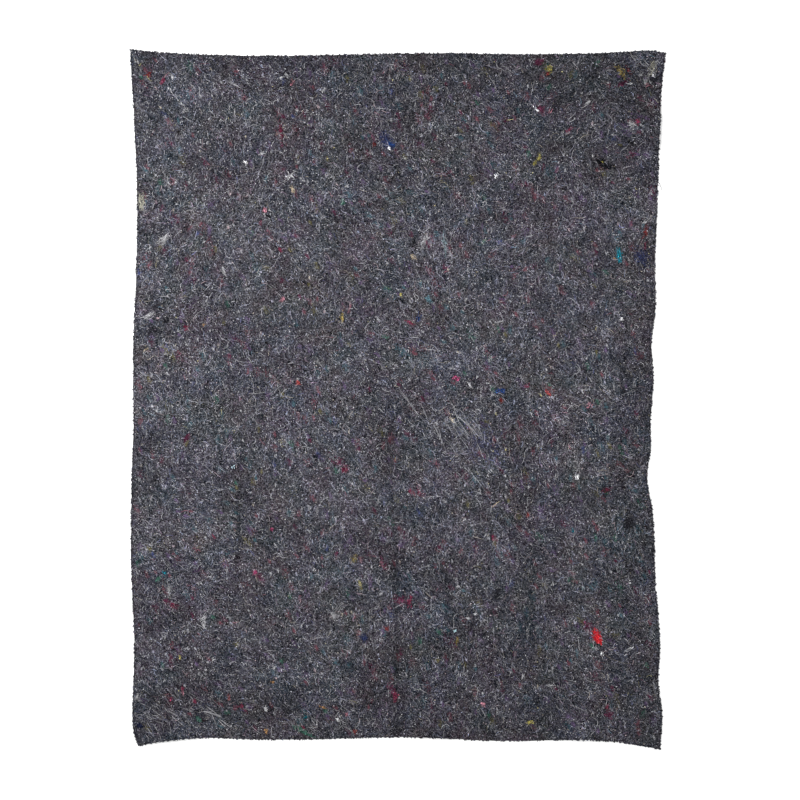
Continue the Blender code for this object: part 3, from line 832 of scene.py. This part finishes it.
def lay_fibres(name, path, height, width, hue, brightness):
    """A piece of flat fibres along these paths, each with a hue, and a brightness for each of its steps."""
    if path.shape[1] == 2:
        return lay_knots(name, path, height, width, hue, brightness)
    count, points = path.shape[:2]
    steps = points - 1
    taper = TIP_WIDTH + (1 - TIP_WIDTH) * np.sin(np.pi * np.linspace(*TAPER, points)) ** 0.5
    half = 0.5 * width[:, None, None] * taper[None, :, None] * leftwards(np.gradient(path, axis=1))
    left = np.concatenate([path + half, height[:, :, None]], axis=2)
    right = np.concatenate([path - half, height[:, :, None]], axis=2)
    corners = np.stack([left, right], axis=2).reshape(-1, 3)
    first = (np.arange(count)[:, None] * 2 * points + 2 * np.arange(steps)[None, :]).reshape(-1)
    quads = np.column_stack([first + 1, first + 3, first + 2, first])
    return coloured_piece(name, corners, quads, np.repeat(hue, steps), brightness.ravel())


def lay_knots(name, path, height, width, hue, brightness):
    """A piece of lozenges, each from one end of its path to the other and as wide as given at its middle."""
    start, end = path[:, 0], path[:, 1]
    middle = path.mean(axis=1)
    half = 0.5 * width[:, None] * leftwards(end - start)
    flat = np.stack([start, middle - half, end, middle + half], axis=1)
    raised = height[:, [0, 0, 1, 1]] + np.array([0, KNOT_RISE, 0, KNOT_RISE])
    corners = np.concatenate([flat, raised[:, :, None]], axis=2).reshape(-1, 3)
    return coloured_piece(name, corners, np.arange(len(corners)).reshape(-1, 4), hue, brightness.ravel())


def coloured_piece(name, corners, quads, hue, brightness):
    """A piece of small faces, each with the hue and brightness of its own cell of the colour map."""
    level = np.abs(np.log(brightness)[:, None] - np.log(LEVELS)[None, :]).argmin(axis=1)
    piece = mesh_of(name, corners, quads)
    give(piece.data, "fibre_colour", "FLOAT_VECTOR", "FACE", HUE_COLOURS[hue] * LEVELS[level][:, None])
    square = (np.array([[0, 0], [1, 0], [1, 1], [0, 1]]) - 0.5) * CELL_FILL
    cell = (np.column_stack([hue, level]) + 0.5)[:, None, :] + square[None, :, :]
    give_map(piece.data, cell / len(LEVELS))
    piece.data.materials.append(bpy.data.materials["felt fibre"])
    return piece


def choose_hues(rng, weights, spot):
    """A hue for a fibre at each spot, drawn by the weights, and leaning to the mix's own cast there."""
    chance = np.array([weights.get(name, 0) for name in HUE_NAMES], float)
    leaning = np.clip(np.log(HUE_COLOURS[:, [0, 2]] / HUE_COLOURS[:, 1:2]), -1, 1)
    total = np.cumsum(chance * np.exp(TINT_PULL * tint(spot) @ leaning.T), axis=1)
    return (total < rng.uniform(0, 1, (len(spot), 1)) * total[:, -1:]).sum(axis=1)


def varied(rng, level, spread, steps):
    """A brightness for each step of each fibre: its own about the given level, and some change along it."""
    own = rng.normal(0, spread, (len(level), 1))
    along = rng.normal(0, CHANGE_ALONG if steps > 1 else 0, (len(level), steps))
    return level[:, None] * np.exp(own + along)


def fitted(length, room):
    """The lengths of fibres, which are cut down where the nearest side is close."""
    return np.minimum(length, LENGTH_TO_ROOM * room + LEAST_LENGTH)


def strew(rng, kind, spot, heading, hue, level, length, bend):
    """A piece of one kind's fibres, centred on these spots of the upper face. None reaches past the edges."""
    room = edge_room(spot)
    inside = room > 0
    spot, room = spot[inside], room[inside]
    given = np.broadcast_arrays(heading, hue, level, length, bend)
    heading, hue, level, length, bend = (values[inside] for values in given)
    count = len(spot)
    heading = heading + rng.normal(0, kind.stray, count)
    path = fibre_paths(rng, spot, heading, fitted(length, room), bend, kind.steps)
    arch = np.sin(np.pi * np.linspace(0, 1, kind.steps + 1))
    lift = kind.lift * rng.uniform(*OWN_LIFT, (count, 1))
    height = height_along(path, top_height) + BED + lift * (END_LIFT + arch)
    brightness = varied(rng, kind.level * level * rim_shade(room), kind.spread, kind.steps)
    return lay_fibres(f"fibres_{kind.name}", path, height, rng.uniform(*kind.width, count), hue, brightness)


def loose_fibres(kind, seed):
    """Fibres of one kind, strewn over the upper face along its grain."""
    rng = draws(seed)
    spot = place_in_outline(*rng.uniform(0, 1, (kind.count, 2)).T)
    hue = choose_hues(rng, kind.hues, spot)
    length = rng.uniform(*kind.length, kind.count)
    # The fibres take the felt's tone, painted shade and light included.
    return strew(rng, kind, spot, grain(spot), hue, tone_and_shade(spot), length, kind.bend)


def under_fibres(kind, seed):
    """Fibres of one kind, strewn over the lower face and looking down."""
    rng = draws(seed)
    spot = place_in_outline(*rng.uniform(0, 1, (kind.count, 2)).T)
    room = np.maximum(edge_room(spot), 0)
    length = fitted(rng.uniform(*kind.length, kind.count), room)
    heading = rng.normal(0, kind.stray, kind.count) - grain(spot)
    path = fibre_paths(rng, spot, heading, length, kind.bend, kind.steps)
    height = height_along(path, underside_height) + 0.5 * FLOOR_CLEARANCE
    brightness = varied(rng, kind.level * rim_shade(room), kind.spread, kind.steps)
    hue = choose_hues(rng, kind.hues, spot)
    width = rng.uniform(*kind.width, kind.count)
    piece = lay_fibres(f"fibres_{kind.name}", path, height, width, hue, brightness)
    piece.data.flip_normals()
    return piece


def scattered(rng, middle, turn, length, width):
    """Spots strewn round each middle, closest in its midst, in a lying oval of this length and width."""
    distance = SCATTER_REACH * rng.uniform(0, 1, len(middle)) ** SCATTER_EVENNESS
    distance *= np.exp(rng.normal(0, SCATTER_RAGGED, len(middle)))
    angle = rng.uniform(0, 2 * np.pi, len(middle))
    along, aside = distance * np.cos(angle) * length, distance * np.sin(angle) * width
    offset = [along * np.cos(turn) - aside * np.sin(turn), along * np.sin(turn) + aside * np.cos(turn)]
    return middle + np.stack(offset, axis=-1)


def clouds():
    """The small drawn-out clouds of short fibre, each of one hue."""
    rng = draws(CLOUD_SEED)
    middles, hues, sizes, levels = [], [], [], []
    for cloud in CLOUDS:
        middle = place_in_outline(*rng.uniform(*CLOUD_SHARES, (cloud.count, 2)).T)
        middles.append(np.repeat(middle, cloud.fibres, axis=0))
        hues.append(np.repeat(choose_hues(rng, cloud.hues, middle), cloud.fibres))
        sizes.append(np.repeat(rng.uniform(*cloud.size, cloud.count), cloud.fibres))
        levels.append(np.full(cloud.count * cloud.fibres, cloud.level))
    middle, size = np.concatenate(middles), np.concatenate(sizes)
    turn = grain(middle)
    spot = scattered(rng, middle, turn, size, CLOUD_WIDTH * size)
    level = np.concatenate(levels) * tone_and_shade(spot)
    length = rng.uniform(*CLOUD_FIBRE.length, len(spot))
    return strew(rng, CLOUD_FIBRE, spot, turn, np.concatenate(hues), level, length, CLOUD_FIBRE.bend)


def tufts_of(rng, table, counts):
    """The row of each fibre, with so many to a row, its spot, and the row's turn, hue, level and length."""
    row = np.repeat(np.arange(len(table)), counts)
    middle = np.array([in_metres(tuft.px, tuft.py) for tuft in table])[row]
    turn = np.radians([tuft.turn for tuft in table])[row]
    size = np.array([[tuft.length, tuft.width] for tuft in table])[row] * MILLIMETRE
    hue = np.array([HUE_NAMES.index(tuft.hue) for tuft in table])[row]
    level = np.array([tuft.level for tuft in table])[row]
    return row, scattered(rng, middle, turn, *size.T), turn, hue, level, size[:, 0]


def flecks():
    """The coloured scraps that stand out most."""
    rng = draws(FLECK_SEED)
    fibre = LOZENGE * np.mean(FLECK_FIBRE.length) * np.mean(FLECK_FIBRE.width)
    areas = [OVAL * fleck.length * fleck.width * MILLIMETRE**2 for fleck in FLECKS]
    counts = [int(fleck.cover * area / fibre) + FEWEST_FIBRES for fleck, area in zip(FLECKS, areas)]
    _, spot, turn, hue, level, _ = tufts_of(rng, FLECKS, counts)
    length = rng.uniform(*FLECK_FIBRE.length, len(spot))
    return strew(rng, FLECK_FIBRE, spot, turn, hue, level, length, FLECK_FIBRE.bend)


def pale_tufts():
    """The tufts of pale hair, whose hairs are a share of the tuft's own length."""
    rng = draws(TUFT_SEED)
    row, spot, turn, hue, level, size = tufts_of(rng, TUFTS, [tuft.hairs for tuft in TUFTS])
    curl = np.array([tuft.curl for tuft in TUFTS])[row]
    length = np.maximum(rng.uniform(*TUFT_HAIR.length, len(spot)) * size, SHORTEST_HAIR)
    return strew(rng, TUFT_HAIR, spot, turn, hue, level, length, curl)


def strands():
    """The long hairs of the table of strands."""
    rng = draws(STRAND_SEED)
    paths, hues, levels = [], [], []
    for strand in STRANDS:
        start, end = in_metres(strand.px0, strand.py0), in_metres(strand.px1, strand.py1)
        for _ in range(strand.hairs):
            first, last = np.sort(rng.uniform(*HAIR_SHARES, 2)) + [-HAIR_OVERRUN, HAIR_OVERRUN]
            share = np.linspace(first, last, STRAND_STEPS + 1)
            wave = HAIR_WAVE * np.sin(rng.uniform(*WAVE_START) + share * rng.uniform(*WAVE_RADIANS))
            wave += rng.normal(0, HAIR_ASIDE) + 4 * share * (1 - share) * strand.bow * MILLIMETRE
            paths.append(mix(start, end, share) + wave[:, None] * leftwards(end - start))
            hues.append(HUE_NAMES.index(strand.hue))
            levels.append(strand.level)
    path = np.array(paths)
    brightness = varied(rng, np.array(levels), STRAND_CHANGE, STRAND_STEPS)
    width = rng.uniform(*STRAND_WIDTH, len(path))
    height = height_along(path, top_height) + STRAND_LIFT
    return lay_fibres("fibres_strands", path, height, width, np.array(hues), brightness)


def edge_fibres():
    """Short ends that cross the rim in clumps all round, dark in part as painted shade of the cut edge."""
    rng = draws(EDGE_SEED)
    share = rng.uniform(0, 1, EDGE_CLUMPS)
    number = rng.integers(0, 4, EDGE_CLUMPS)
    across = np.select([number == 0, number == 1], [0.0, 1.0], share)
    up = np.select([number == 2, number == 3], [0.0, 1.0], share)
    level = EDGE.level * np.exp(rng.normal(0, EDGE.spread, EDGE_CLUMPS))
    spot = np.repeat(place_in_outline(across, up), EDGE_EACH, axis=0)
    count = len(spot)
    spot += rng.normal(0, EDGE_SPREAD, (count, 2))
    heading = rng.uniform(0, 2 * np.pi, count)
    path = fibre_paths(rng, spot, heading, rng.uniform(*EDGE.length, count), EDGE.bend, EDGE.steps)
    depth = rng.uniform(*EDGE_DEPTH, (count, 1)) + rng.normal(0, EDGE_DEPTH_CHANGE, (count, EDGE.steps + 1))
    height = height_along(path, underside_height) + THICKNESS * np.clip(depth, EDGE_DEPTH[0], 1.0)
    brightness = varied(rng, np.repeat(level, EDGE_EACH), EDGE_CHANGE, EDGE.steps)
    hue = choose_hues(rng, EDGE.hues, spot)
    return lay_fibres("fibres_edge", path, height, rng.uniform(*EDGE.width, count), hue, brightness)


def finish_piece(piece):
    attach(piece, BODY)
    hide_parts(NODE)


def floor_and_light():
    """A plain pale floor under a broad soft key from the upper left and an even pale surround."""
    bpy.ops.mesh.primitive_plane_add(size=FLOOR_SIZE)
    floor = bpy.context.object
    floor.name = "floor"
    glow = {"Emission Color": WHITE, "Emission Strength": FLOOR_GLOW}
    paint = Shader("floor").surface({"Base Color": FLOOR_PAINT, "Roughness": 1.0, **glow})
    floor.data.materials.append(paint)

    key = bpy.data.lights.new("key", "AREA")
    key.shape = "DISK"
    key.size = KEY_SIZE
    key.energy = KEY_WATTS
    lamp = in_scene("key", key)
    lamp.location = KEY_PLACE
    lamp.rotation_euler = (-lamp.location).to_track_quat("-Z", "Y").to_euler()

    world = bpy.data.worlds.new("surround")
    world.use_nodes = True
    world.node_tree.nodes["Background"].inputs["Color"].default_value = WHITE
    world.node_tree.nodes["Background"].inputs["Strength"].default_value = SURROUND
    bpy.context.scene.world = world
    bpy.context.scene.view_settings.view_transform = "Standard"


def camera():
    data = bpy.data.cameras.new("camera")
    data.lens = LENS_MM
    data.sensor_width = SENSOR_MM
    eye = in_scene("camera", data)
    eye.location = (*VIEW_MIDDLE, VIEW_WIDTH * LENS_MM / SENSOR_MM)
    bpy.context.scene.camera = eye


def main():
    camera()
    floor_and_light()
    sheet = felt_sheet()
    fibre_material()
    loose = [loose_fibres(kind, TOP_SEED + i) for i, kind in enumerate(TOP_KINDS)]
    loose += [under_fibres(kind, UNDER_SEED + i) for i, kind in enumerate(UNDER_KINDS)]
    loose += [clouds(), flecks(), pale_tufts(), strands(), edge_fibres()]
    for piece in (sheet, *loose):
        finish_piece(piece)


main()
